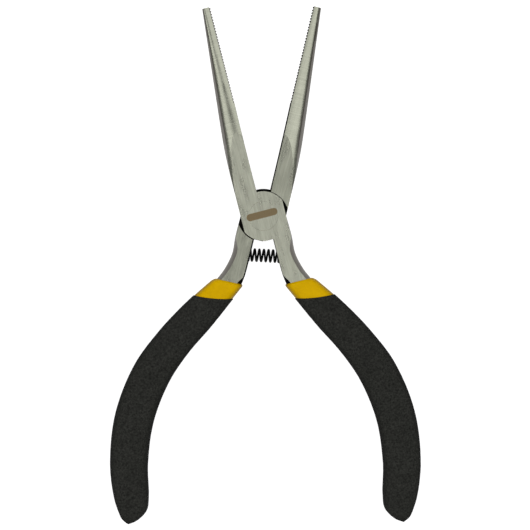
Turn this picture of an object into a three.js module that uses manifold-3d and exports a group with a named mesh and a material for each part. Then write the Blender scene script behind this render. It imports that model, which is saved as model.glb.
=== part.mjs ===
// Spring-opened long-nose pliers with flat, serrated gripping faces, in millimetres.
// +Z is the pivot axis, +Y points to the jaw tips, and the origin lies on the pivot
// axis in the plane of the joint's lower face. The tool is held open by its spring.
//
// Both levers are the same forging, turned half round the Y axis. Each is drawn once
// in its closed position: jaw at -X, handle at +X, mid-plane at Z = 0.
import * as THREE from "three";
import { mergeVertices } from "three/addons/utils/BufferGeometryUtils.js";
import Module from "manifold-3d";

const wasm = await Module();
wasm.setup();

// ---- Driving dimensions ----
const HALF_OPENING = THREE.MathUtils.degToRad(14);
const HALF_THICKNESS = 3.8;
const HALF_JOINT_WIDTH = 6.05;
const FIT_GAP = 0.3;
const RUNNING_GAP = 0.1;

const TIP_Y = 59.2;
const TIP_WIDTH = 2.05;
const TIP_HALF_THICKNESS = 1.15;
const JAW_TAPER = 0.0992;
const CREST_X = 0.1;
const RELIEF_X = -0.13;
const TOOTH_PITCH = 0.8;
const TOOTH_COUNT = 34;
const TOOTH_DEPTH = 0.3;
const TOOTH_START_Y = TIP_Y - TOOTH_COUNT * TOOTH_PITCH;
const SHOULDER_BLEND = 0.25;

// The two outsides of the nose are ground one at a time. Each is crowned across: highest
// along lineX, and lower by drop times the square of the distance from it. Past
// CROWN_GAIN_Y the drop grows by gain a millimetre. Towards its ridge the face rolls over,
// and beyond the ridge lies a steep flank, which starts between the two heights in
// flankStart and narrows from the first of flankWidths to the second, at the tip.
const UPPER_CROWN = {
  flatEndY: 24,
  lineX: -1.55,
  drop: 0.055,
  gain: 0.005,
  flankStart: [12, 25],
  flankWidths: [1.08, 0.4],
};
const LOWER_CROWN = {
  flatEndY: 23,
  lineX: -0.35,
  drop: 0.03,
  gain: 0.0015,
  flankStart: [11, 23],
  flankWidths: [1.2, 0.62],
};
const CROWN_GAIN_Y = 28;
const RIDGE_ROLL = { depth: 0.03, power: 12 };
const FLANK_FADED_WIDTH = 0.05;
const FLANK_SHOULDER = { across: 0.3, down: 0.12 };

const DISC_RADIUS = 6.75;
const DISC_DRAFT = 0.35;
const DRAFT_FADE = [-0.8, -0.6];
const WEB_Y = -6.75;
const WEB_REACH = [-1.5, 1.2];
const SHOULDER_GAP = 0.25;
const RIVET_SHAFT_RADIUS = 2.6;
const RIVET_HEAD_RADIUS = 4;
const RIVET_HEAD_DEPTH = 1.5;

const SPRING_Y = -10.65;
const SPRING_TILT = THREE.MathUtils.degToRad(-3.4);
const SPRING_RADIUS = 1.6;
const WIRE_RADIUS = 0.3;
const SPRING_TURNS = 8;
const OPEN_PITCH = 1.26;
const CLOSED_PITCH = 0.72;
const POCKET_RADIUS = 2.3;
const POCKET_BOTTOM_X = 5.25;
const POCKET_DEPTH = 4;

const GRIP_HALF_THICKNESS = 4.8;
const COLLAR_INSET = 0.12;
const OUTER_WALL = 1.1;
const INNER_WALL = 0.9;
const GRIP_SQUARENESS = 3.4;

// Inner and outer edge of the handle, point for point from the collar's mouth to the
// end. The covered stretch starts at index 1.
const GRIP_INNER_EDGE = edge([
  [0.6, -19.5], [2.7, -24], [6.95, -33.1], [11, -40.9], [14.4, -50], [16.05, -62],
  [14.8, -73.8], [12.6, -82], [12.2, -85.9], [14.2, -89.3], [16.3, -90.85],
]);
const GRIP_OUTER_EDGE = edge([
  [9.4, -20], [13.6, -25.6], [16.9, -30.8], [20.5, -37.3], [24.85, -47.7], [26.85, -62],
  [25, -75.9], [21.9, -84.4], [20, -87.65], [18.3, -89.8], [16.3, -90.85],
]);
const GRIP_LAST = 10;
const GRIP_ROUNDING_START = 7.4;
const COLLAR_STATIONS = [0, 0.94];
const COVERED_STATIONS = [0.8, 8.3];
const CAVITY_STATIONS = [0.8, 8.4];
const OUTER_STATIONS = [1, 8, 8.3, 9.9];
const CORE_STATIONS = [1.2, 7.6];
const STATION_STEP = 0.4;
const COLLAR_STEPS = 4;
const BODY_STEPS = 18;
const CAP_STEPS = 5;

// Inner and outer edge of the bare tang, point for point from the joint to the collar.
const TANG_INNER_EDGE = edge([[1, 0], [1, -7], [1, -12], [1.1, -17], [1.5, -19.8]]);
const TANG_OUTER_EDGE = edge([[6.05, 0], [6.2, -7], [5.95, -12], [7, -16.6], [8.4, -19.8]]);
const TANG_LAST = 4;
const TANG_BEVELS = [0.2, 1.2];
const TANG_BEVEL_START = [16.8, 19.8];
const TANG_FLANKS = [0.1, 1.25];
const TANG_FLANK_START = [6.5, 11];
const TANG_FLANK_FOOT = 0.25;
const CORE_BEVEL = 0.7;
const CORE_FLANK = 0.9;

function edge(points) {
  return new THREE.CatmullRomCurve3(points.map(([x, y]) => new THREE.Vector3(x, y, 0)));
}

// ---- Solids ----
function solid(geometry) {
  geometry.deleteAttribute("normal");
  geometry.deleteAttribute("uv");
  const merged = mergeVertices(geometry);
  const corners = Array.from(merged.index.array);
  const triangles = [];
  for (let i = 0; i < corners.length; i += 3) {
    const [a, b, c] = corners.slice(i, i + 3);
    if (a !== b && b !== c && c !== a) {
      triangles.push(a, b, c);
    }
  }
  return new wasm.Manifold(new wasm.Mesh({
    numProp: 3,
    vertProperties: new Float32Array(merged.attributes.position.array),
    triVerts: new Uint32Array(triangles),
  }));
}

function toGeometry(shape) {
  const { vertProperties, triVerts } = shape.getMesh();
  const geometry = new THREE.BufferGeometry();
  geometry.setAttribute("position", new THREE.BufferAttribute(vertProperties, 3));
  geometry.setIndex(new THREE.BufferAttribute(triVerts, 1));
  geometry.computeVertexNormals();
  return geometry;
}

// A closed solid skinned over rings of equal point count. Each ring runs right-handed
// about the direction from one ring to the next.
function skin(rings) {
  const count = rings[0].length;
  const lastRing = (rings.length - 1) * count;
  const startCentre = rings.length * count;
  const triangles = [];
  for (let i = 0; i < count; i += 1) {
    const j = (i + 1) % count;
    for (let a = 0; a < lastRing; a += count) {
      const b = a + count;
      triangles.push(a + i, a + j, b + j, a + i, b + j, b + i);
    }
    triangles.push(startCentre, j, i, startCentre + 1, lastRing + i, lastRing + j);
  }
  const points = [...rings.flat(), middle(rings[0]), middle(rings.at(-1))];
  const geometry = new THREE.BufferGeometry().setFromPoints(points);
  geometry.setIndex(triangles);
  return solid(geometry);
}

function middle(ring) {
  const sum = ring.reduce((total, point) => total.add(point), new THREE.Vector3());
  return sum.divideScalar(ring.length);
}

// A solid of revolution about the pivot axis, from [radius, z] pairs that start and end
// on the axis in rising z.
function turned(profile) {
  const points = profile.map(([radius, z]) => new THREE.Vector2(radius, z));
  return solid(new THREE.LatheGeometry(points, 72).rotateX(Math.PI / 2));
}

function block(x0, x1, y0, y1, z0, z1) {
  const geometry = new THREE.BoxGeometry(x1 - x0, y1 - y0, z1 - z0);
  return solid(geometry.translate((x0 + x1) / 2, (y0 + y1) / 2, (z0 + z1) / 2));
}

const { clamp, lerp, smoothstep } = THREE.MathUtils;

// ---- Jaw ----
// The straight taper of the nose, held to the joint's half width with a short blend.
function jawWidth(y) {
  const tapered = TIP_WIDTH + JAW_TAPER * (TIP_Y - y);
  const excess = (HALF_JOINT_WIDTH - tapered) / SHOULDER_BLEND;
  return HALF_JOINT_WIDTH - SHOULDER_BLEND * Math.log1p(Math.exp(excess));
}

// Plan width of the steep flank, which fades out into the joint's straight side.
function flankWidth(y, crown) {
  const along = Math.max(0, y - crown.flatEndY) / (TIP_Y - crown.flatEndY);
  const full = lerp(...crown.flankWidths, along);
  return lerp(FLANK_FADED_WIDTH, full, smoothstep(y, ...crown.flankStart));
}

// Height of one crowned outside of the nose above the mid-plane, without the ridge's roll.
function crownHeight(x, y, crown) {
  const slope = (HALF_THICKNESS - TIP_HALF_THICKNESS) / (TIP_Y - crown.flatEndY);
  const drop = crown.drop + crown.gain * Math.max(0, y - CROWN_GAIN_Y);
  return TIP_HALF_THICKNESS + slope * (TIP_Y - y) - drop * (x - crown.lineX) ** 2;
}

// Half of a ring, from the gripping face over one crown and down the top of its flank.
function jawHalfRing(y, innerX, crown) {
  const ridgeX = flankWidth(y, crown) - jawWidth(y);
  const half = [0, 0.3, 0.6, 0.8, 0.9, 1].map((part) => {
    const x = lerp(innerX, ridgeX, part);
    const roll = RIDGE_ROLL.depth * (innerX - ridgeX) * part ** RIDGE_ROLL.power;
    return new THREE.Vector3(x, y, crownHeight(x, y, crown) - roll);
  });
  const ridge = half.at(-1);
  const { across, down } = FLANK_SHOULDER;
  const shoulderX = ridgeX - across * flankWidth(y, crown);
  half.push(new THREE.Vector3(shoulderX, y, ridge.z * (1 - down)));
  return half;
}

function jawRing(y, innerX) {
  const upper = jawHalfRing(y, innerX, UPPER_CROWN);
  const lower = jawHalfRing(y, innerX, LOWER_CROWN);
  const parting = new THREE.Vector3(-jawWidth(y), y, 0);
  return [...lower.map((point) => point.setZ(-point.z)), parting, ...upper.reverse()];
}

function jaw() {
  const rings = [];
  const plainSteps = 11;
  for (let i = 0; i <= plainSteps; i += 1) {
    const part = i / plainSteps;
    const y = lerp(1, TOOTH_START_Y - TOOTH_PITCH / 4, part);
    rings.push(jawRing(y, lerp(RELIEF_X, CREST_X, part ** 3)));
  }
  for (let i = 0; i < TOOTH_COUNT; i += 1) {
    const y = TOOTH_START_Y + i * TOOTH_PITCH;
    rings.push(jawRing(y, CREST_X - TOOTH_DEPTH));
    rings.push(jawRing(y + TOOTH_PITCH / 2, CREST_X));
  }
  rings.push(jawRing(TIP_Y, CREST_X - TOOTH_DEPTH));
  const plate = block(-10, 1, 0, TIP_Y + 1, -HALF_THICKNESS, HALF_THICKNESS);
  return skin(rings).intersect(plate);
}

// ---- Tang and the core inside the grip ----
// Section between an inner and an outer edge point: a flat face on each side, a bevel
// along the inner edge and a wide flank along the outer edge.
function barRing(inner, outer, halfThickness, bevel, flank, grow) {
  const across = outer.clone().sub(inner).normalize();
  const start = inner.clone().addScaledVector(across, -grow);
  const end = outer.clone().addScaledVector(across, grow);
  const height = halfThickness + grow;
  const upper = [
    end.clone().setZ(TANG_FLANK_FOOT * height),
    end.clone().addScaledVector(across, -flank).setZ(height),
    start.clone().addScaledVector(across, bevel).setZ(height),
    start.clone().setZ(height - bevel),
  ];
  const lower = upper.map((point) => point.clone().setZ(-point.z)).reverse();
  return [...upper, ...lower];
}

// The grip's two edge points at a station, moved inwards.
function insetEdges(station, inset) {
  const inner = GRIP_INNER_EDGE.getPoint(station / GRIP_LAST);
  const outer = GRIP_OUTER_EDGE.getPoint(station / GRIP_LAST);
  const across = outer.clone().sub(inner).normalize();
  inner.addScaledVector(across, inset);
  outer.addScaledVector(across, -inset);
  return [inner, outer];
}

function tangRings(grow) {
  const rings = [];
  for (let station = 0; station <= TANG_LAST; station += STATION_STEP) {
    const inner = TANG_INNER_EDGE.getPoint(station / TANG_LAST);
    const outer = TANG_OUTER_EDGE.getPoint(station / TANG_LAST);
    const bevel = lerp(...TANG_BEVELS, smoothstep(-inner.y, ...TANG_BEVEL_START));
    const flank = lerp(...TANG_FLANKS, smoothstep(-inner.y, ...TANG_FLANK_START));
    rings.push(barRing(inner, outer, HALF_THICKNESS, bevel, flank, grow));
  }
  const coreInset = OUTER_WALL + INNER_WALL + 2 * FIT_GAP;
  const coreHalfThickness = GRIP_HALF_THICKNESS - coreInset;
  for (let station = CORE_STATIONS[0]; station <= CORE_STATIONS[1]; station += STATION_STEP) {
    const [inner, outer] = insetEdges(station, coreInset);
    rings.push(barRing(inner, outer, coreHalfThickness, CORE_BEVEL, CORE_FLANK, grow));
  }
  return rings;
}

// ---- Joint ----
// Rim of the half disc at one height: round, flattened by the joint's sides, and filled out
// by a flat web beside the tang. The forging draft fades out towards the web.
function rimRing(draft, z) {
  const ring = [];
  const sides = 96;
  for (let i = 0; i < sides; i += 1) {
    const angle = (2 * Math.PI * i) / sides;
    const radius = DISC_RADIUS + draft * smoothstep(Math.sin(angle), ...DRAFT_FADE);
    const x = clamp(radius * Math.cos(angle), -HALF_JOINT_WIDTH, HALF_JOINT_WIDTH);
    const y = radius * Math.sin(angle);
    const onWeb = y < 0 && x > WEB_REACH[0] && x < WEB_REACH[1];
    ring.push(new THREE.Vector3(x, onWeb ? WEB_Y : y, z));
  }
  return ring;
}

function halfDisc() {
  return skin([rimRing(DISC_DRAFT, RUNNING_GAP), rimRing(0, HALF_THICKNESS)]);
}

// The space below the mid-plane in which the other lever's half disc turns.
function discRecess() {
  const inner = DISC_RADIUS + SHOULDER_GAP;
  const below = HALF_THICKNESS + 1;
  const wider = DISC_DRAFT / HALF_THICKNESS;
  return turned([
    [0, -below], [inner - wider, -below], [inner + DISC_DRAFT, RUNNING_GAP], [0, RUNNING_GAP],
  ]);
}

function rivetHole() {
  const reach = HALF_THICKNESS + 1;
  const flare = (RIVET_HEAD_RADIUS - RIVET_SHAFT_RADIUS) / RIVET_HEAD_DEPTH;
  const mouth = RIVET_HEAD_RADIUS + RUNNING_GAP + flare;
  const shaft = RIVET_SHAFT_RADIUS + RUNNING_GAP;
  const sink = HALF_THICKNESS - RIVET_HEAD_DEPTH;
  return turned([
    [0, -reach], [mouth, -reach], [shaft, -sink], [shaft, sink], [mouth, reach], [0, reach],
  ]);
}

// The blind pocket for one end of the spring, level when the tool is open.
function springPocket() {
  const pocket = new THREE.CylinderGeometry(POCKET_RADIUS, POCKET_RADIUS, POCKET_DEPTH, 32);
  pocket.rotateZ(Math.PI / 2);
  pocket.translate(POCKET_BOTTOM_X - POCKET_DEPTH / 2, SPRING_Y, 0);
  pocket.rotateZ(-HALF_OPENING);
  return solid(pocket);
}

function leverGeometry() {
  const forging = jaw().add(skin(tangRings(0))).subtract(discRecess()).add(halfDisc());
  return toGeometry(forging.subtract(rivetHole()).subtract(springPocket()));
}

// ---- Grip sleeves ----
// Rounded-square ring across the handle.
function sleeveRing(station, inset) {
  const [inner, outer] = insetEdges(station, inset);
  const centre = inner.clone().lerp(outer, 0.5);
  const half = outer.clone().sub(centre);
  const rounding = Math.max(0, station - GRIP_ROUNDING_START) / (GRIP_LAST - GRIP_ROUNDING_START);
  const height = GRIP_HALF_THICKNESS * Math.sqrt(1 - rounding ** 2) - inset;
  const points = [];
  const sides = 16;
  for (let i = 0; i < sides; i += 1) {
    const angle = (2 * Math.PI * (i + 0.5)) / sides;
    const across = Math.sign(Math.cos(angle)) * Math.abs(Math.cos(angle)) ** (2 / GRIP_SQUARENESS);
    const up = Math.sign(Math.sin(angle)) * Math.abs(Math.sin(angle)) ** (2 / GRIP_SQUARENESS);
    points.push(centre.clone().addScaledVector(half, across).setZ(height * up));
  }
  return points;
}

function sleeveRings(first, last, inset, count) {
  const rings = [];
  for (let i = 0; i <= count; i += 1) {
    rings.push(sleeveRing(lerp(first, last, i / count), inset));
  }
  return rings;
}

function innerSleeveGeometry() {
  const collar = skin(sleeveRings(...COLLAR_STATIONS, COLLAR_INSET, COLLAR_STEPS));
  const covered = skin(sleeveRings(...COVERED_STATIONS, OUTER_WALL + FIT_GAP, BODY_STEPS));
  return toGeometry(collar.add(covered).subtract(skin(tangRings(FIT_GAP))));
}

function outerSleeveGeometry() {
  const [mouth, bodyEnd, capStart, end] = OUTER_STATIONS;
  const body = sleeveRings(mouth, bodyEnd, 0, BODY_STEPS);
  const cap = sleeveRings(capStart, end, 0, CAP_STEPS);
  const cavity = skin(sleeveRings(...CAVITY_STATIONS, OUTER_WALL, BODY_STEPS));
  return toGeometry(skin([...body, ...cap]).subtract(cavity));
}

// ---- Rivet and spring ----
function rivetGeometry() {
  const sink = HALF_THICKNESS - RIVET_HEAD_DEPTH;
  return toGeometry(turned([
    [0, -HALF_THICKNESS], [RIVET_HEAD_RADIUS, -HALF_THICKNESS], [RIVET_SHAFT_RADIUS, -sink],
    [RIVET_SHAFT_RADIUS, sink], [RIVET_HEAD_RADIUS, HALF_THICKNESS], [0, HALF_THICKNESS],
  ]));
}

// Centre line of the wire: one close turn at each end and even turns between.
class SpringWire extends THREE.Curve {
  getPoint(t, target = new THREE.Vector3()) {
    const fromMiddle = SPRING_TURNS * (t - 0.5);
    const evenTurns = SPRING_TURNS / 2 - 1;
    const even = THREE.MathUtils.clamp(fromMiddle, -evenTurns, evenTurns);
    const x = OPEN_PITCH * even + CLOSED_PITCH * (fromMiddle - even);
    const angle = 2 * Math.PI * fromMiddle;
    return target.set(x, SPRING_RADIUS * Math.cos(angle), SPRING_RADIUS * Math.sin(angle));
  }
}

function springGeometry() {
  const section = new THREE.Shape().absarc(0, 0, WIRE_RADIUS, 0, 2 * Math.PI);
  const wire = new THREE.ExtrudeGeometry(section, {
    steps: 14 * SPRING_TURNS,
    curveSegments: 3,
    extrudePath: new SpringWire(),
  });
  return toGeometry(solid(wire));
}

// ---- Materials ----
function material(color, roughness, metalness) {
  return new THREE.MeshStandardMaterial({ color, roughness, metalness });
}

const groundSteel = material(0x9c9e8f, 0.38, 1);
const rivetSteel = material(0xa2a495, 0.35, 1);
const springSteel = material(0x17181a, 0.4, 0.8);
const yellowVinyl = material(0xc9a206, 0.45, 0);
const blackVinyl = material(0x24261f, 0.85, 0);

// ---- Assembly ----
function piece(name, geometry, finish) {
  const mesh = new THREE.Mesh(geometry, finish);
  mesh.name = name;
  return mesh;
}

function half(side, leverName) {
  const group = new THREE.Group();
  group.add(
    piece(leverName, leverGeometry(), groundSteel.clone()),
    piece(`${side}_inner_sleeve`, innerSleeveGeometry(), yellowVinyl.clone()),
    piece(`${side}_outer_sleeve`, outerSleeveGeometry(), blackVinyl.clone()),
  );
  return group;
}

const frontHalf = half("right", "front_lever");
frontHalf.add(piece("pivot_rivet", rivetGeometry(), rivetSteel));
frontHalf.rotation.z = HALF_OPENING;

const turnedOver = half("left", "back_lever");
turnedOver.rotation.y = Math.PI;
const backHalf = new THREE.Group();
backHalf.add(turnedOver);
backHalf.rotation.z = -HALF_OPENING;

const spring = piece("return_spring", springGeometry(), springSteel);
spring.position.y = SPRING_Y;
spring.rotation.z = SPRING_TILT;

const pliers = new THREE.Group();
pliers.add(frontHalf, backHalf, spring);
pliers.position.z = HALF_THICKNESS;

export default pliers;
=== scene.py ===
"""Looks of a small pair of spring-opened long-nose pliers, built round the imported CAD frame.

Both levers are one forging. It is drawn once in the lever's own closed frame, in millimetres:
jaw at -X, handle at +X, mid-plane at Z = 0. LEVER_FRAMES then put the two copies in place.
"""
import math

import bmesh
import bpy
import numpy as np
from mathutils import Matrix, Vector, noise


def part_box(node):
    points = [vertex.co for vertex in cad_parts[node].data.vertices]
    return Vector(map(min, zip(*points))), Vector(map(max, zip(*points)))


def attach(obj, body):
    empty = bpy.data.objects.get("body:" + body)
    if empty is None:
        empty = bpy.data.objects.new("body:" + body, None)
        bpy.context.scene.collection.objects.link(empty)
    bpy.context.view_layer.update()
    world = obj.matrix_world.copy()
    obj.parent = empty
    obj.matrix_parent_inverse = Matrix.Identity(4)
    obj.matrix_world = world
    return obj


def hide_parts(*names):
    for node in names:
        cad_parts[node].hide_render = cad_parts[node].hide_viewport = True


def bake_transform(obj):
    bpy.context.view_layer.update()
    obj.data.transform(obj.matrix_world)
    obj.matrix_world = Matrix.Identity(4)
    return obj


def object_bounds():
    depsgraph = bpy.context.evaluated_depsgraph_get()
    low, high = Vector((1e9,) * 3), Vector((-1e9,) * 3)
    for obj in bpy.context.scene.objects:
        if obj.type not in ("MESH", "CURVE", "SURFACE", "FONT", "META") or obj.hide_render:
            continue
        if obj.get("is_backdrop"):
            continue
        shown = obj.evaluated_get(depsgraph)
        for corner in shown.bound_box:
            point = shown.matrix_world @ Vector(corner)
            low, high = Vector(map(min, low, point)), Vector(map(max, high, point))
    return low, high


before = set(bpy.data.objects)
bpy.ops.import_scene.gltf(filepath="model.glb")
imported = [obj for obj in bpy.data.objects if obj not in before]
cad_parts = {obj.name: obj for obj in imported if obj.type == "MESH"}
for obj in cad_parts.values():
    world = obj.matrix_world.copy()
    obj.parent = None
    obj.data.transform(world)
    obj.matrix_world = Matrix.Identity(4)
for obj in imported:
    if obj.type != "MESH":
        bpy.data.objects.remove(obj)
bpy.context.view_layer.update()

MM = 0.001

# ---- Places from the frame ----
lever_low, lever_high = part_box("front_lever")
MID_Z = (lever_low.z + lever_high.z) / 2
HALF_THICKNESS = (lever_high.z - lever_low.z) / 2 / MM
HALF_OPENING = math.radians(14)

# ---- Driving dimensions in mm: the CAD part's, with closer fits and finer edges ----
HALF_JOINT_WIDTH = 6.05
JAW_ROOT_Y = 1
TIP_Y = 59.2
TIP_WIDTH = 2.05
TIP_HALF_THICKNESS = 1.15
JAW_TAPER = 0.0992
SHOULDER_BLEND = 0.25

# Each crown: where its ground flat ends and its slope starts, the line it is highest along, its
# curve and the gain of that per mm beyond CROWN_GAIN_Y, and where its flank fades in and how wide
UPPER_CROWN = {
    "flat_end_y": 24, "line_x": -1.55, "drop": 0.055, "gain": 0.005,
    "flank_start": (12, 25), "flank_widths": (1.08, 0.4),
}
LOWER_CROWN = {
    "flat_end_y": 23, "line_x": -0.35, "drop": 0.03, "gain": 0.0015,
    "flank_start": (11, 23), "flank_widths": (1.2, 0.62),
}
CROWN_GAIN_Y = 28
CROWN_STEEPEST = 0.25
RIDGE_ROLL_DEPTH = 0.03
RIDGE_ROLL_POWER = 12
FLANK_FADED_WIDTH = 0.05
GRINDING_START_Y = 9

CREST_X = 0.1
RELIEF_X = -0.13
TOOTH_PITCH = 0.8
TOOTH_COUNT = 34
TOOTH_START_Y = TIP_Y - TOOTH_COUNT * TOOTH_PITCH
TOOTH_DEPTH = 0.34
TOOTH_ROUNDNESS = 0.8
LOWER_CREST_GAIN = 0.15
LOWER_CREST_START_Y = 32

# Chamfers along the gripping face; those of the teeth run from the gullet to the crest
UPPER_CHAMFER = 0.04
LOWER_CHAMFER = 0.36
UPPER_TOOTH_CHAMFERS = (0.02, 0.16)
LOWER_TOOTH_CHAMFERS = (0.08, 0.36)
CHAMFER_STEEPNESS = 1.2

# Flank sections, as (share of the flank's width, share of the height) pairs
JAW_FLANK_DROPS = ((0.06, 0.03), (0.25, 0.12), (0.6, 0.42), (0.85, 0.78))
TANG_FLANK_RISES = ((0, 0.1), (0.16, 0.4), (0.5, 0.72), (1, 1))

DISC_RADIUS = 6.75
DISC_DRAFT = 0.75
DRAFT_FADE = (-0.8, -0.6)
WEB_Y = -6.75
WEB_REACH = (-1.5, 1.2)
SHOULDER_GAP = 0.26
RECESS_SHIFT = (0.04, -0.06)
MID_GAP = 0.06
RIVET_SHAFT_RADIUS = 2.6
RIVET_HEAD_RADIUS = 4
RIVET_HEAD_DEPTH = 1.5
RIVET_SEAM = 0.008
RIVET_BEVEL = 0.02

SPRING_Y = -10.8
SPRING_TILT = math.radians(-3.4)
SPRING_RADIUS = 1.6
WIRE_RADIUS = 0.3
SPRING_TURNS = 8
OPEN_PITCH = 1.26
CLOSED_PITCH = 0.72
POCKET_RADIUS = 2.3
POCKET_BOTTOM_X = 5.25
POCKET_DEPTH = 4

# Tang: sizes at its start and end, and how far below the pivot each changes over
TANG_BEVELS = (0.15, 1.2)
TANG_BEVEL_START = (16.8, 19.8)
TANG_FLANKS = (0.22, 1.25)
TANG_FLANK_START = (6.5, 11)

# Grip: a station is a whole or part index into the points of its two edges
GRIP_HALF_THICKNESS = 4.75
COLLAR_INSET = 0.22
OUTER_WALL = 1.1
INNER_WALL = 0.9
GRIP_SQUARENESS = 3.4
GRIP_ROUNDING_START = 7.4
GRIP_END_HALF_THICKNESS = 0.02
MOUTH_STATION = 1.0
MOUTH_BOW = 0.4
MOUTH_BOW_FADE = 2.5
BORE_END_STATION = 8.5
COVERED_END_STATION = 8.3
COAT_GAP = 0.06

# Rounded mouths of the coats: length in stations, and drop in mm
MOUTH_RIM = (0.02, 0.12)
COLLAR_RIM = (0.19, 0.75)

# Core of the lever inside the grip
CORE_INSET = OUTER_WALL + INNER_WALL + 0.6
CORE_HALF_THICKNESS = 2.2
CORE_STATIONS = (1.2, 7.6)
CORE_BEVEL = 0.7
CORE_FLANK = 0.9
SLEEVE_FIT = 0.02

# Small allowances: what keeps neighbouring points apart, how far a cutter runs past a face, and
# the least length that a direction is divided by
EASE = 0.01
OVERRUN = 1
TINY = 1e-6

# A face is level when more than this share of its normal is along Z
LEVEL = 0.9995

# Fineness of the meshes
ROOT_RINGS = 63
CROWN_POINTS = 26
TOOTH_STEPS = 8
TANG_RINGS = 81
CORE_RINGS = 40
RIM_POINTS = 240
GRIP_SIDES = 80
SPRING_STEPS_PER_TURN = 48
WIRE_SIDES = 14

GRIP_INNER_EDGE = [
    (0.6, -19.5), (2.7, -24), (6.95, -33.1), (11, -40.9), (14.4, -50), (16.05, -62),
    (14.8, -73.8), (12.6, -82), (12.2, -85.9), (14.2, -89.3), (16.3, -90.85),
]
GRIP_OUTER_EDGE = [
    (9.4, -19.65), (13.6, -25.6), (16.9, -30.8), (20.5, -37.3), (24.85, -47.7), (26.85, -62),
    (25, -75.9), (21.9, -84.4), (20, -87.65), (18.3, -89.8), (16.3, -90.85),
]
GRIP_LAST = len(GRIP_INNER_EDGE) - 1
TANG_INNER_EDGE = [(1, 0), (1, -7), (1, -12), (1.1, -17), (1.5, -19.8)]
TANG_OUTER_EDGE = [(6.05, 0), (6.2, -7), (5.95, -12), (7, -16.6), (8.4, -19.8)]
TANG_LAST = len(TANG_INNER_EDGE) - 1

lift = Matrix.Translation((0, 0, MID_Z))
LEVER_FRAMES = {
    "front_half": lift @ Matrix.Rotation(HALF_OPENING, 4, "Z"),
    "back_half": lift @ Matrix.Rotation(-HALF_OPENING, 4, "Z") @ Matrix.Rotation(math.pi, 4, "Y"),
}


# ---- Curves and small sums ----
def lerp(a, b, part):
    return a + (b - a) * part


def smoothstep(x, low, high):
    part = min(1, max(0, (x - low) / (high - low)))
    return part * part * (3 - 2 * part)


def on_edge(points, station):
    """A point on the centripetal Catmull-Rom curve through the points, at a whole or part index."""
    index = min(int(station), len(points) - 2)
    part = station - index
    p = [np.array(point, float) for point in points]
    p1, p2 = p[index], p[index + 1]
    p0 = p[index - 1] if index > 0 else 2 * p1 - p2
    p3 = p[index + 2] if index + 2 < len(p) else 2 * p2 - p1
    d0, d1, d2 = (math.sqrt(np.linalg.norm(b - a)) for a, b in ((p0, p1), (p1, p2), (p2, p3)))
    t1 = ((p1 - p0) / d0 - (p2 - p0) / (d0 + d1) + (p2 - p1) / d1) * d1
    t2 = ((p2 - p1) / d1 - (p3 - p1) / (d1 + d2) + (p3 - p2) / d2) * d1
    cubic = 2 * (p1 - p2) + t1 + t2
    square = 3 * (p2 - p1) - 2 * t1 - t2
    return p1 + part * (t1 + part * (square + part * cubic))


# ---- Mesh tools ----
def skin(rings):
    """Points and faces of a closed solid over rings of equal point count, with a fan on each end."""
    rings = np.array(rings, float)
    total, count = rings.shape[:2]
    last = (total - 1) * count
    points = [*rings.reshape(-1, 3), rings[0].mean(0), rings[-1].mean(0)]
    faces = []
    for i in range(count):
        j = (i + 1) % count
        faces += [(a + i, a + j, a + count + j, a + count + i) for a in range(0, last, count)]
        faces += [(total * count, j, i), (total * count + 1, last + i, last + j)]
    return points, faces


def turned(profile, sides=160):
    """A solid of revolution about Z from (radius, z) pairs in rising z."""
    angles = np.linspace(0, 2 * math.pi, sides, endpoint=False)
    return skin([[(r * math.cos(a), r * math.sin(a), z) for a in angles] for r, z in profile])


def block(low, high):
    corners = [(0, 0), (1, 0), (1, 1), (0, 1)]
    pick = np.array([low, high], float)
    return skin([[(pick[i][0], pick[j][1], pick[k][2]) for i, j in corners] for k in (0, 1)])


def piece(name, points, faces=None):
    """A new object from points in millimetres, at the origin of its own frame."""
    if faces is None:
        points, faces = points
    mesh = bpy.data.meshes.new(name)
    mesh.from_pydata([tuple(MM * c for c in point) for point in points], [], faces)
    mesh.validate()
    made = bpy.data.objects.new(name, mesh)
    bpy.context.scene.collection.objects.link(made)
    return made


def carve(target, *steps):
    """Applies (operation, shape) booleans to the target's mesh, in order."""
    cutters = []
    for operation, shape in steps:
        cutter = piece("cutter", shape)
        cutters.append(cutter)
        change = target.modifiers.new(operation, "BOOLEAN")
        change.operation = operation
        change.solver = "EXACT"
        change.object = cutter
    bpy.context.view_layer.update()
    graph = bpy.context.evaluated_depsgraph_get()
    result = bpy.data.meshes.new_from_object(target.evaluated_get(graph))
    target.modifiers.clear()
    target.data = result
    for cutter in cutters:
        bpy.data.objects.remove(cutter)


def settle(made, matrix):
    """Keeps each point's place in the piece's own frame, in mm, as the attribute that its
    materials read, and then moves the mesh to its place in the tool."""
    mesh = made.data
    places = mesh.attributes.new("own_place", "FLOAT_VECTOR", "POINT")
    places.data.foreach_set("vector", [c / MM for vertex in mesh.vertices for c in vertex.co])
    mesh.transform(matrix)
    mesh.update()


def finish_faces(target, region, materials, crease=25):
    """Gives each face the material that region(centre, normal) names, and makes edges sharp
    between regions and where the surface turns by more than the crease angle."""
    mesh = target.data
    mesh.materials.clear()
    names = list(materials)
    for name in names:
        mesh.materials.append(materials[name])
    work = bmesh.new()
    work.from_mesh(mesh)
    for face in work.faces:
        face.material_index = names.index(region(face.calc_center_median() / MM, face.normal))
        face.smooth = abs(face.normal.z) < LEVEL
    for edge in work.edges:
        near = [face.material_index for face in edge.link_faces]
        same = len(near) == 2 and near[0] == near[1]
        edge.smooth = same and edge.calc_face_angle(0) < math.radians(crease)
    work.to_mesh(mesh)
    work.free()


# ---- Material tools ----
def new_material(name, metallic, roughness):
    made = bpy.data.materials.new(name)
    made.use_nodes = True
    shader = made.node_tree.nodes["Principled BSDF"]
    shader.inputs["Metallic"].default_value = metallic
    shader.inputs["Roughness"].default_value = roughness
    return made, made.node_tree, shader


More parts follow.
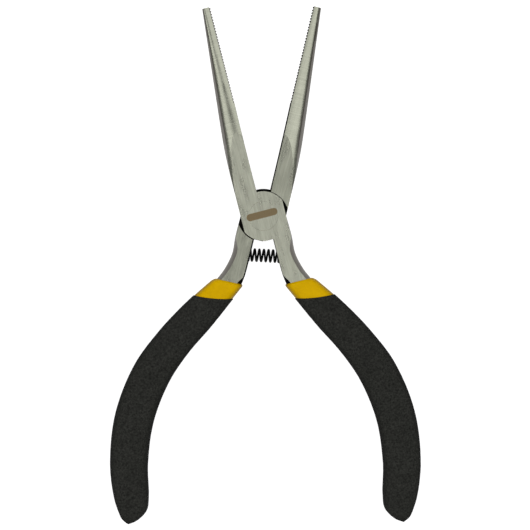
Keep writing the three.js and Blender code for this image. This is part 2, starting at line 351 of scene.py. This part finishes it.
def own_place(tree):
    node = tree.nodes.new("ShaderNodeAttribute")
    node.attribute_name = "own_place"
    return node.outputs["Vector"]


def stretched_noise(tree, per_mm, detail=3.0, roughness=0.55, turn=0):
    """Noise in the piece's own frame, with this many features to a millimetre along X, Y and Z,
    and turned about Z by this many degrees."""
    stretch = tree.nodes.new("ShaderNodeMapping")
    stretch.inputs["Scale"].default_value = per_mm
    stretch.inputs["Rotation"].default_value = (0, 0, math.radians(turn))
    texture = tree.nodes.new("ShaderNodeTexNoise")
    texture.inputs["Scale"].default_value = 1
    texture.inputs["Detail"].default_value = detail
    texture.inputs["Roughness"].default_value = roughness
    tree.links.new(own_place(tree), stretch.inputs["Vector"])
    tree.links.new(stretch.outputs["Vector"], texture.inputs["Vector"])
    return texture.outputs["Fac"]


def ramp(tree, factor, low, high, start=0.3, end=0.7):
    """A blend from the low to the high colour, or grey value, as the factor goes from start to end."""
    node = tree.nodes.new("ShaderNodeValToRGB")
    for stop, place, value in zip(node.color_ramp.elements, (start, end), (low, high)):
        stop.position = place
        stop.color = (*value, 1) if hasattr(value, "__len__") else (value, value, value, 1)
    tree.links.new(factor, node.inputs["Fac"])
    return node.outputs["Color"]


def mixed_colours(tree, a):
    """A colour mix node with its first colour linked."""
    node = tree.nodes.new("ShaderNodeMix")
    node.data_type = "RGBA"
    tree.links.new(a, node.inputs["A"])
    return node


def multiply(tree, a, b):
    node = mixed_colours(tree, a)
    node.blend_type = "MULTIPLY"
    node.inputs["Factor"].default_value = 1
    tree.links.new(b, node.inputs["B"])
    return node.outputs["Result"]


def mix(tree, share, a, b_colour):
    node = mixed_colours(tree, a)
    tree.links.new(share, node.inputs["Factor"])
    node.inputs["B"].default_value = b_colour
    return node.outputs["Result"]


def maths(tree, operation, a, b=0.0):
    """Output of a math node whose parts are numbers or other nodes' outputs."""
    node = tree.nodes.new("ShaderNodeMath")
    node.operation = operation
    for socket, value in zip(node.inputs, (a, b)):
        if isinstance(value, (int, float)):
            socket.default_value = value
        else:
            tree.links.new(value, socket)
    return node.outputs[0]


def own_axis(tree, axis):
    parts = tree.nodes.new("ShaderNodeSeparateXYZ")
    tree.links.new(own_place(tree), parts.inputs["Vector"])
    return parts.outputs[axis]


def bump(tree, shader, height, depth):
    """Bump of the given depth in mm where the height goes from 0 to 1."""
    node = tree.nodes.new("ShaderNodeBump")
    node.inputs["Distance"].default_value = depth * MM
    node.inputs["Strength"].default_value = 1
    tree.links.new(height, node.inputs["Height"])
    tree.links.new(node.outputs["Normal"], shader.inputs["Normal"])


# ---- Materials ----
# Colours are linear, and marks, clouds and grain are counted per mm along X, Y and Z
STEEL = (0.338, 0.346, 0.281)
# Lighter copy of STEEL for the front lever's upper ground face and rivet head: a painted highlight
PAINTED_LIT_STEEL = (0.415, 0.424, 0.346)
FLANK_STEEL = (0.148, 0.137, 0.12)
# Dark steel for the gripping faces, and painted shade for the dark line along each crown's ridge
DARK_STEEL_AND_RIDGE_SHADE = (0.07, 0.064, 0.052)
ETCH_COLOUR = (0.215, 0.166, 0.095, 1)
ETCH_ROUGHNESS = (0.6, 0.6, 0.6, 1)
FLAT_MARKS = (3.2, 0.2, 0.2)
TAPER_MARKS = (0.12, 3.4, 0.12)
FLANK_MARKS = (2, 0.8, 2)
SLANTED_MARKS = (2.4, 0.12, 1)
SLANT_DEGREES = -9
FLAT_CLOUDS = (0.5, 0.12, 0.5)
TAPER_CLOUDS = (0.3, 0.25, 0.3)
FLANK_CLOUDS = (0.5, 0.5, 0.5)
COAT_CLOUDS = (0.3, 0.3, 0.3)

# Heights from the middle between which the painted shade on a grip's rounded sides gives way to the
# full colour of its face
SIDE_SHADE_HEIGHTS = (2.7, 4.25)


def steel(name, colour, marks_per_mm, clouds_per_mm, roughness, mark_depth, mark=None):
    """Metal with fine grinding marks, a fainter set slanted across them, faint clouds and, if
    mark is given, dull brown where that function's factor is 1."""
    made, tree, shader = new_material(name, 1, roughness)
    marks = stretched_noise(tree, marks_per_mm, detail=4)
    clouds = stretched_noise(tree, clouds_per_mm)
    slanted = stretched_noise(tree, SLANTED_MARKS, turn=SLANT_DEGREES)
    tint = ramp(tree, marks, [0.82 * c for c in colour], [1.06 * c for c in colour], 0.25, 0.75)
    shade = ramp(tree, clouds, 0.86, 1.0)
    streaks = ramp(tree, slanted, 0.92, 1.03)
    colours = multiply(tree, multiply(tree, tint, shade), streaks)
    rough = ramp(tree, clouds, roughness - 0.05, roughness + 0.05)
    if mark:
        share = mark(tree)
        colours = mix(tree, share, colours, ETCH_COLOUR)
        rough = mix(tree, share, rough, ETCH_ROUGHNESS)
    tree.links.new(colours, shader.inputs["Base Color"])
    tree.links.new(rough, shader.inputs["Roughness"])
    bump(tree, shader, marks, mark_depth)
    return made


def etched_bar(tree):
    """1 inside a plain round-ended bar across the joint face, with a slightly uneven edge."""
    centre_x, centre_y = -0.27, 0.47
    half_length, half_height, softness = 4.4, 1.05, 0.12
    from_centre = maths(tree, "SUBTRACT", own_axis(tree, "X"), centre_x)
    along = maths(tree, "ABSOLUTE", from_centre)
    beyond = maths(tree, "MAXIMUM", maths(tree, "SUBTRACT", along, half_length - half_height), 0.0)
    across = maths(tree, "SUBTRACT", own_axis(tree, "Y"), centre_y)
    squares = [maths(tree, "POWER", part, 2.0) for part in (beyond, across)]
    reach = maths(tree, "SQRT", maths(tree, "ADD", *squares))
    uneven = maths(tree, "MULTIPLY", stretched_noise(tree, (4, 4, 4)), 2 * softness)
    edge = maths(tree, "ADD", reach, uneven)
    share = maths(tree, "DIVIDE", maths(tree, "SUBTRACT", half_height + softness, edge), softness)
    share.node.use_clamp = True
    return share


def coating(name, low, high, roughness, specular, grain_per_mm, grain_depth, speckle, edges=1.0):
    """A clouded, finely grained coat that is not metal. On the rounded sides of a grip, away from its
    top and bottom, painted shade lowers the colour to the given share."""
    made, tree, shader = new_material(name, 0, roughness)
    shader.inputs["Specular IOR Level"].default_value = specular
    clouds = stretched_noise(tree, COAT_CLOUDS, detail=4)
    grain = stretched_noise(tree, (grain_per_mm,) * 3, roughness=0.6)
    dots = ramp(tree, grain, 1 - speckle, 1 + speckle)
    # Painted shade on the rounded sides of a grip, fading out towards its top and bottom
    side = tree.nodes.new("ShaderNodeMapRange")
    side.inputs["From Min"].default_value, side.inputs["From Max"].default_value = SIDE_SHADE_HEIGHTS
    side.inputs["To Min"].default_value = edges
    tree.links.new(maths(tree, "ABSOLUTE", own_axis(tree, "Z")), side.inputs["Value"])
    tint = multiply(tree, ramp(tree, clouds, low, high), dots)
    tree.links.new(multiply(tree, tint, side.outputs["Result"]), shader.inputs["Base Color"])
    tree.links.new(ramp(tree, grain, roughness - 0.07, roughness + 0.07), shader.inputs["Roughness"])
    bump(tree, shader, grain, grain_depth)
    return made


flat_finish = {
    "marks_per_mm": FLAT_MARKS, "clouds_per_mm": FLAT_CLOUDS, "roughness": 0.3, "mark_depth": 0.03,
}
flank_finish = {
    "marks_per_mm": FLANK_MARKS, "clouds_per_mm": FLANK_CLOUDS, "roughness": 0.5, "mark_depth": 0.03,
}
ground_flat = steel("ground_flat", STEEL, **flat_finish)
# Upper face of the front lever and rivet: painted highlight in a lighter steel, with the etched bar
lit_ground_marked = steel("ground_flat_marked_lit", PAINTED_LIT_STEEL, **flat_finish, mark=etched_bar)
lever_materials = {
    "flat": ground_flat,
    "flat_top": ground_flat,
    "taper": steel("ground_taper", STEEL, TAPER_MARKS, TAPER_CLOUDS, roughness=0.27, mark_depth=0.012),
    "flank": steel("flank", FLANK_STEEL, **flank_finish),
    "ridge": steel("ridge", DARK_STEEL_AND_RIDGE_SHADE, **flank_finish),
    "oxide": coating(
        "oxide", (0.005, 0.005, 0.0045), (0.008, 0.008, 0.007), roughness=0.7, specular=0.0,
        grain_per_mm=2, grain_depth=0.02, speckle=0.2,
    ),
}
lit_marked_materials = {**lever_materials, "flat_top": lit_ground_marked}
# Both grip coats have painted shade on their rounded sides
yellow = coating(
    "yellow_vinyl", (0.74, 0.44, 0.0), (0.79, 0.475, 0.0), roughness=0.42, specular=0.03,
    grain_per_mm=1.2, grain_depth=0.01, speckle=0.03, edges=0.4,
)
black = coating(
    "black_vinyl", (0.0245, 0.0252, 0.0222), (0.03, 0.0305, 0.027), roughness=0.8, specular=0.04,
    grain_per_mm=2.0, grain_depth=0.14, speckle=0.55, edges=0.25,
)
wire_finish = coating(
    "spring_black", (0.004, 0.004, 0.004), (0.007, 0.007, 0.007), roughness=0.5, specular=0.05,
    grain_per_mm=3, grain_depth=0.01, speckle=0.1,
)


# ---- Lever ----
def jaw_width(y):
    """Tapered towards the tip, and blended into the parallel sides of the joint."""
    tapered = TIP_WIDTH + JAW_TAPER * (TIP_Y - y)
    excess = (HALF_JOINT_WIDTH - tapered) / SHOULDER_BLEND
    return HALF_JOINT_WIDTH - SHOULDER_BLEND * math.log1p(math.exp(excess))


def flank_width(y, crown):
    along = max(0, y - crown["flat_end_y"]) / (TIP_Y - crown["flat_end_y"])
    full = lerp(*crown["flank_widths"], along)
    return lerp(FLANK_FADED_WIDTH, full, smoothstep(y, *crown["flank_start"]))


def crown_height(x, y, crown):
    """Height of a crown, which falls off on both sides of its line, ever more steeply on the
    outer side but to a limit on the inner one."""
    slope = (HALF_THICKNESS - TIP_HALF_THICKNESS) / (TIP_Y - crown["flat_end_y"])
    drop = crown["drop"] + crown["gain"] * max(0, y - CROWN_GAIN_Y)
    across = x - crown["line_x"]
    fall = drop * across**2
    if across > 0:
        bend = CROWN_STEEPEST / (2 * drop)
        fall = CROWN_STEEPEST * (math.hypot(across, bend) - bend)
    return TIP_HALF_THICKNESS + slope * (TIP_Y - y) - fall


def jaw_half_ring(y, inner_x, crown, chamfer):
    """From the gripping face over one crown, in steps that shorten towards the ridge, and down
    its flank, as (x, height) pairs."""
    flank = flank_width(y, crown)
    ridge_x = flank - jaw_width(y)
    width = inner_x - ridge_x
    corner = min(HALF_THICKNESS, crown_height(inner_x, y, crown))
    half = [(inner_x, corner - CHAMFER_STEEPNESS * chamfer - EASE), (inner_x - chamfer, corner + EASE)]
    for part in lerp(1, chamfer / width, np.linspace(0.97, 0, CROWN_POINTS) ** 1.5):
        x = inner_x - part * width
        roll = RIDGE_ROLL_DEPTH * width * part**RIDGE_ROLL_POWER
        half.append((x, crown_height(x, y, crown) - roll))
    ridge_z = min(HALF_THICKNESS, half[-1][1])
    for across, down in JAW_FLANK_DROPS:
        half.append((ridge_x - across * flank, ridge_z * (1 - down)))
    return half


def jaw_ring(y, inner_x, upper_chamfer, lower_chamfer):
    """Section of the jaw across both of its crowns, which are ground one at a time."""
    lower_x = inner_x + LOWER_CREST_GAIN * smoothstep(y, LOWER_CREST_START_Y, TIP_Y)
    upper = [(x, y, z) for x, z in jaw_half_ring(y, inner_x, UPPER_CROWN, upper_chamfer)]
    lower = [(x, y, -z) for x, z in jaw_half_ring(y, lower_x, LOWER_CROWN, lower_chamfer)]
    return [*lower, (-jaw_width(y), y, 0), *reversed(upper)]


def jaw():
    """Plain root of the jaw, with its larger chamfer on the lower side, and then the teeth,
    each chamfered at its crest."""
    rings = []
    step = TOOTH_PITCH / TOOTH_STEPS
    for part in np.linspace(0, 1, ROOT_RINGS):
        x = lerp(RELIEF_X, CREST_X, part**3)
        y = lerp(JAW_ROOT_Y, TOOTH_START_Y - step, part)
        rings.append(jaw_ring(y, x, UPPER_CHAMFER, LOWER_CHAMFER))
    for i in range(TOOTH_COUNT * TOOTH_STEPS + 1):
        crest = (0.5 - 0.5 * math.cos(2 * math.pi * i / TOOTH_STEPS)) ** TOOTH_ROUNDNESS
        x = CREST_X - TOOTH_DEPTH * (1 - crest)
        y = TOOTH_START_Y + i * step
        chamfers = [lerp(*pair, crest) for pair in (UPPER_TOOTH_CHAMFERS, LOWER_TOOTH_CHAMFERS)]
        rings.append(jaw_ring(y, x, *chamfers))
    return skin(rings)


def bar_ring(inner, outer, half_thickness, bevel, flank, grow):
    """Section between two edge points: flat faces, a bevel along the inner edge, a wide flank
    along the outer one."""
    across = (outer - inner) / np.linalg.norm(outer - inner)
    start = inner - grow * across
    end = outer + grow * across
    height = half_thickness + grow
    rise = [(end - share * flank * across, part * height) for share, part in TANG_FLANK_RISES]
    lower_bevel = max(bevel, LOWER_CHAMFER)
    upper = [*rise, (start + bevel * across, height), (start, height - bevel)]
    lower_edge = height - CHAMFER_STEEPNESS * lower_bevel
    lower = [*rise, (start + lower_bevel * across, height), (start, lower_edge)]
    return [*((*spot, z) for spot, z in upper), *((*spot, -z) for spot, z in reversed(lower))]


def inset_edges(station, inset):
    inner = on_edge(GRIP_INNER_EDGE, station)
    outer = on_edge(GRIP_OUTER_EDGE, station)
    across = (outer - inner) / max(TINY, np.linalg.norm(outer - inner))
    return inner + inset * across, outer - inset * across


def tang_rings(grow):
    """Tang, and then the core that runs on down inside the grip."""
    rings = []
    for station in np.linspace(0, TANG_LAST, TANG_RINGS):
        inner = on_edge(TANG_INNER_EDGE, station)
        outer = on_edge(TANG_OUTER_EDGE, station)
        bevel = lerp(*TANG_BEVELS, smoothstep(-inner[1], *TANG_BEVEL_START))
        flank = lerp(*TANG_FLANKS, smoothstep(-inner[1], *TANG_FLANK_START))
        rings.append(bar_ring(inner, outer, HALF_THICKNESS, bevel, flank, grow))
    for station in np.linspace(*CORE_STATIONS, CORE_RINGS):
        edges = inset_edges(station, CORE_INSET)
        rings.append(bar_ring(*edges, CORE_HALF_THICKNESS, CORE_BEVEL, CORE_FLANK, grow))
    return rings


def rim_ring(draft, z):
    """Rim of the half disc at one height: round, flattened by the joint's sides, and filled
    out by a flat web beside the tang. The forging draft fades out towards the web."""
    ring = []
    for angle in np.linspace(0, 2 * math.pi, RIM_POINTS, endpoint=False):
        radius = DISC_RADIUS + draft * smoothstep(math.sin(angle), *DRAFT_FADE)
        x = min(HALF_JOINT_WIDTH, max(-HALF_JOINT_WIDTH, radius * math.cos(angle)))
        y = radius * math.sin(angle)
        on_web = y < 0 and WEB_REACH[0] < x < WEB_REACH[1]
        ring.append((x, WEB_Y if on_web else y, z))
    return ring


def disc_recess():
    """Room for the other lever's disc, set a little towards the handle."""
    inner = DISC_RADIUS + SHOULDER_GAP
    slope = DISC_DRAFT / HALF_THICKNESS
    wall = [(inner - OVERRUN * slope, -HALF_THICKNESS - OVERRUN), (inner + DISC_DRAFT, MID_GAP)]
    points, faces = turned(wall)
    return [(x + RECESS_SHIFT[0], y + RECESS_SHIFT[1], z) for x, y, z in points], faces


def rivet_hole():
    """Shaft bore with a countersink at each end, its cones run on past the faces."""
    reach = HALF_THICKNESS + OVERRUN
    flare = (RIVET_HEAD_RADIUS - RIVET_SHAFT_RADIUS) / RIVET_HEAD_DEPTH
    mouth = RIVET_HEAD_RADIUS + RIVET_SEAM + OVERRUN * flare
    shaft = RIVET_SHAFT_RADIUS + RIVET_SEAM
    sink = HALF_THICKNESS - RIVET_HEAD_DEPTH
    return turned([(mouth, -reach), (shaft, -sink), (shaft, sink), (mouth, reach)])


def spring_pocket():
    """Blind hole in the tang that stands level along X when the tool is open."""
    turn = Matrix.Rotation(-HALF_OPENING, 4, "Z")
    points, faces = turned([(POCKET_RADIUS, -POCKET_DEPTH / 2), (POCKET_RADIUS, POCKET_DEPTH / 2)], 64)
    shift = Vector((POCKET_BOTTOM_X - POCKET_DEPTH / 2, SPRING_Y, 0))
    lay = Matrix.Rotation(math.pi / 2, 4, "Y")
    return [tuple(turn @ (shift + lay @ Vector(point))) for point in points], faces


def jaw_finish(y, z, up, normal):
    """Finish of a face beyond the joint, or None. The gripping face is dark, its lower chamfer is
    black as painted shade, and the ridge carries a dark line of painted shade that widens towards the
    tip on the upper side."""
    jaw_start_y, widening_start_y, tip_depth = 7.5, 40, 0.1
    if y > jaw_start_y and normal.x > 0.25 and up < 0.25:
        return "ridge"
    if y > jaw_start_y and normal.x > 0.5:
        # Black on the lower chamfer is painted shade along the gripping edge; the upper chamfer stays
        # flank steel
        return "flank" if z > 0 else "oxide"
    if y < GRINDING_START_Y:
        return None
    on_tip_end = y > TIP_Y - tip_depth and normal.y > 0.9
    if up > 0.75 or on_tip_end:
        return "taper"
    # Painted shade: a dark line along the ridge, wider towards the tip on the upper side
    widening = smoothstep(y, widening_start_y, TIP_Y) if z > 0 else 0
    return "ridge" if up > lerp(0.5, 0.3, widening) else None


def tang_finish(x, y, z, up, normal):
    """Finish of a face of the joint or tang that is not level: bare on the outer sides, black
    round the disc and its recess, in the spring pocket and on the bevels near the grip."""
    joint_end_y, grip_bevel_y, nearness = -7, -17, 0.15
    if joint_end_y < y < GRINDING_START_Y and x > HALF_JOINT_WIDTH - nearness:
        return "flank"
    on_rim = math.hypot(x, y) < DISC_RADIUS + DISC_DRAFT + SHOULDER_GAP + nearness
    if on_rim and abs(x) < HALF_JOINT_WIDTH - EASE:
        return "oxide"
    level_y = y * math.cos(HALF_OPENING) + x * math.sin(HALF_OPENING)
    pocket_start_x, pocket_end_x = 1.15, 3.3
    across_pocket = math.hypot(level_y - SPRING_Y, z)
    in_pocket = pocket_start_x < x < pocket_end_x and across_pocket < POCKET_RADIUS + 2 * EASE
    on_inner_bevel = y < joint_end_y and normal.x < -0.3 and up > 0.3
    black_bevel = on_inner_bevel and (y < grip_bevel_y or z < 0)
    return "oxide" if in_pocket or black_bevel else "flank"


def lever_region(centre, normal):
    """Which finish a face of the forging has."""
    x, y, z = centre
    up = abs(normal.z)
    if up > LEVEL:
        if abs(z) < HALF_THICKNESS - EASE:
            return "oxide"
        return "flat_top" if z > 0 else "flat"
    return jaw_finish(y, z, up, normal) or tang_finish(x, y, z, up, normal)


def forging():
    """The jaw, ground flat above and below, then the tang, recess and disc, then the holes."""
    made = piece("forging", jaw())
    reach = HALF_THICKNESS
    disc = skin([rim_ring(DISC_DRAFT, MID_GAP), rim_ring(0, reach)])
    outside_x = -10
    jaw_space = block((outside_x, 0, -reach), (OVERRUN, TIP_Y + OVERRUN, reach))
    carve(made, ("INTERSECT", jaw_space))
    carve(made, ("UNION", skin(tang_rings(0))), ("DIFFERENCE", disc_recess()), ("UNION", disc))
    carve(made, ("DIFFERENCE", rivet_hole()), ("DIFFERENCE", spring_pocket()))
    finish_faces(made, lever_region, lever_materials)
    return made


def place(made, body, node, slot):
    """Puts a piece drawn in the lever's frame on its body, in place of the CAD node."""
    settle(made, LEVER_FRAMES[body])
    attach(made, body)
    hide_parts(node)


front = forging()
front.name = "front_forging"
back = front.copy()
back.data = front.data.copy()
back.name = "back_forging"
bpy.context.scene.collection.objects.link(back)
# The front lever's upper face takes the lighter steel with painted highlight, and the etched bar
front.data.materials[list(lever_materials).index("flat_top")] = lit_ground_marked
place(front, "front_half", "front_lever", "lever_steel")
place(back, "back_half", "back_lever", "lever_steel")


# ---- Rivet ----
def rivet():
    sink = HALF_THICKNESS - RIVET_HEAD_DEPTH
    head = RIVET_HEAD_RADIUS
    half = [
        (head - RIVET_BEVEL, HALF_THICKNESS),
        (head, HALF_THICKNESS - RIVET_BEVEL),
        (RIVET_SHAFT_RADIUS, sink),
    ]
    return turned([(r, -z) for r, z in half] + half[::-1])


def rivet_region(centre, normal):
    if abs(normal.z) < LEVEL:
        return "oxide"
    return "flat_top" if normal.z > 0 else "flat"


pin = piece("rivet", rivet())
finish_faces(pin, rivet_region, lit_marked_materials)
place(pin, "front_half", "pivot_rivet", "rivet_steel")


# ---- Return spring ----
def spring_rings():
    """Rings of wire along a helix about X, more closely wound in its first and last turn."""
    rings = []
    even_turns = SPRING_TURNS / 2 - 1
    reach = SPRING_TURNS / 2
    for turn in np.linspace(-reach, reach, SPRING_STEPS_PER_TURN * SPRING_TURNS + 1):
        even = min(even_turns, max(-even_turns, turn))
        x = OPEN_PITCH * even + CLOSED_PITCH * (turn - even)
        angle = 2 * math.pi * turn
        outwards = np.array((0, math.cos(angle), math.sin(angle)))
        pitch = OPEN_PITCH if abs(turn) < even_turns else CLOSED_PITCH
        forward = np.array((pitch / (2 * math.pi * SPRING_RADIUS), -math.sin(angle), math.cos(angle)))
        sideways = np.cross(forward / np.linalg.norm(forward), outwards)
        centre = np.array((x, 0, 0)) + SPRING_RADIUS * outwards
        rings.append([
            centre + WIRE_RADIUS * (math.cos(a) * outwards + math.sin(a) * sideways)
            for a in np.linspace(0, 2 * math.pi, WIRE_SIDES, endpoint=False)
        ])
    return rings


coil = piece("coil_spring", skin(spring_rings()))
finish_faces(coil, lambda centre, normal: "wire", {"wire": wire_finish}, crease=60)
spring_middle = Vector((0, SPRING_Y * MM, MID_Z))
settle(coil, Matrix.Translation(spring_middle) @ Matrix.Rotation(SPRING_TILT, 4, "Z"))
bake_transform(coil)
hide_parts("return_spring")


# ---- Grip sleeves ----
def sleeve_ring(station, inset):
    """Rounded-square ring across the handle, bowed down a little about the black mouth."""
    inner, outer = inset_edges(station, inset)
    bow = MOUTH_BOW * math.exp(-MOUTH_BOW_FADE * abs(station - MOUTH_STATION))
    centre = (inner + outer) / 2
    half = (outer - inner) / 2
    down = np.array((half[1], -half[0])) / max(TINY, np.linalg.norm(half))
    rounding = max(0, station - GRIP_ROUNDING_START) / (GRIP_LAST - GRIP_ROUNDING_START)
    full_height = GRIP_HALF_THICKNESS * math.sqrt(max(0, 1 - rounding**2))
    height = max(GRIP_END_HALF_THICKNESS, full_height - inset)
    ring = []
    for angle in np.linspace(0, 2 * math.pi, GRIP_SIDES, endpoint=False):
        c, s = math.cos(angle), math.sin(angle)
        across = math.copysign(abs(c) ** (2 / GRIP_SQUARENESS), c)
        up = math.copysign(abs(s) ** (2 / GRIP_SQUARENESS), s)
        ring.append((*(centre + half * across + down * bow * (1 - across**2)), height * up))
    return ring


def rounded_rim(start, length, drop, base_inset, steps=8):
    """(station, inset) pairs over a rounded outside corner, from the flat mouth out."""
    turns = np.linspace(0, math.pi / 2, steps)
    return [(start + length * (1 - math.cos(a)), base_inset + drop * (1 - math.sin(a))) for a in turns]


def sleeve(*stretches):
    """A closed coat over runs of (station, inset) pairs."""
    return skin([sleeve_ring(station, inset) for stretch in stretches for station, inset in stretch])


def stretch(start, end, steps, inset):
    """Evenly spaced (station, inset) pairs at one inset."""
    return [(station, inset) for station in np.linspace(start, end, steps)]


def outer_sleeve():
    """Black coat: up its bore to the mouth, round the rim and down the outside to the end."""
    bore = stretch(BORE_END_STATION, MOUTH_STATION, 40, OUTER_WALL)
    rim = rounded_rim(MOUTH_STATION, *MOUTH_RIM, 0)
    body = stretch(1.06, 8, 170, 0)
    end = [*stretch(8.03, 9.9, 50, 0), *stretch(9.95, 9.98, 2, 0)]
    return sleeve(bore, rim, body, end)


def inner_sleeve():
    """Yellow coat: the collar in sight, and the thinner length under the black coat."""
    rim = rounded_rim(0, *COLLAR_RIM, COLLAR_INSET, 10)
    collar = stretch(0.2, 0.99, 24, COLLAR_INSET)
    covered = stretch(0.996, COVERED_END_STATION, 60, OUTER_WALL + COAT_GAP)
    return sleeve(rim, collar, covered)


def roughen(made, depth, per_mm):
    """Moves each point a little in or out, for the uneven surface of a dipped coat."""
    mesh = made.data
    normals = [vertex.normal.copy() for vertex in mesh.vertices]
    for vertex, normal in zip(mesh.vertices, normals):
        vertex.co += normal * noise.noise(vertex.co * (per_mm / MM)) * depth * MM


for side, body in (("left", "back_half"), ("right", "front_half")):
    covered = piece(f"{side}_yellow_sleeve", inner_sleeve())
    carve(covered, ("DIFFERENCE", skin(tang_rings(SLEEVE_FIT))))
    finish_faces(covered, lambda centre, normal: "yellow", {"yellow": yellow}, crease=40)
    place(covered, body, f"{side}_inner_sleeve", "yellow_sleeve")
    grip = piece(f"{side}_black_sleeve", outer_sleeve())
    roughen(grip, depth=0.03, per_mm=0.9)
    finish_faces(grip, lambda centre, normal: "black", {"black": black}, crease=60)
    place(grip, body, f"{side}_outer_sleeve", "black_sleeve")


# ---- Floor, light and camera ----
def floor():
    """Ground under the lowest point of the tool, which glows so that it stays white."""
    reach = 3000
    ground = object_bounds()[0][2] / MM
    turns = ((-1, -1), (1, -1), (1, 1), (-1, 1))
    made = piece("floor", [(reach * x, reach * y, ground) for x, y in turns], [(0, 1, 2, 3)])
    finish, tree, shader = new_material("white_floor", 0, 0.9)
    shader.inputs["Base Color"].default_value = (0.35, 0.35, 0.35, 1)
    shader.inputs["Emission Color"].default_value = (1, 1, 1, 1)
    shader.inputs["Emission Strength"].default_value = 0.95
    made.data.materials.append(finish)
    made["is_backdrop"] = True


def softbox(name, low, high, height, radiance, turn):
    """A level panel overhead, from its low to its high (x, y) corner in metres, turned about Z."""
    width, length = high[0] - low[0], high[1] - low[1]
    data = bpy.data.lights.new(name, "AREA")
    data.shape = "RECTANGLE"
    data.size = width
    data.size_y = length
    data.energy = radiance * math.pi * width * length
    made = bpy.data.objects.new(name, data)
    spin = Matrix.Rotation(math.radians(turn), 4, "Z")
    middle = Vector(((low[0] + high[0]) / 2, (low[1] + high[1]) / 2, height))
    made.matrix_world = Matrix.Translation(spin @ middle) @ spin
    made.visible_camera = False
    bpy.context.scene.collection.objects.link(made)


def studio():
    """Even pale surroundings, and two softboxes overhead with a darker gap between them."""
    world = bpy.data.worlds.new("studio")
    world.use_nodes = True
    world.node_tree.nodes["Background"].inputs["Color"].default_value = (1, 1, 1, 1)
    world.node_tree.nodes["Background"].inputs["Strength"].default_value = 0.3
    bpy.context.scene.world = world
    bpy.context.scene.view_settings.view_transform = "Standard"
    height, turn = 1.25, 12
    softbox("left_box", (-1.1, -0.9), (-0.22, 0.6), height, radiance=1.7, turn=turn)
    softbox("right_box", (0.10, -0.6), (0.9, 0.9), height, radiance=1.6, turn=turn)


def camera():
    """Straight down on the open tool, turned a little so that it stands as it was set down.
    The distance and the field of view are in metres, and the centre of the view in mm."""
    distance, field = 1.0, 0.14543
    centre_x, centre_y = 0.338, -13.395
    turn = math.radians(-0.478)
    data = bpy.data.cameras.new("camera")
    data.sensor_width = 36
    data.lens = data.sensor_width * distance / field
    data.clip_start = 0.01
    data.clip_end = 20
    made = bpy.data.objects.new("camera", data)
    made.location = (centre_x * MM, centre_y * MM, MID_Z + distance)
    made.rotation_euler = (0, 0, turn)
    bpy.context.scene.collection.objects.link(made)
    bpy.context.scene.camera = made


floor()
studio()
camera()
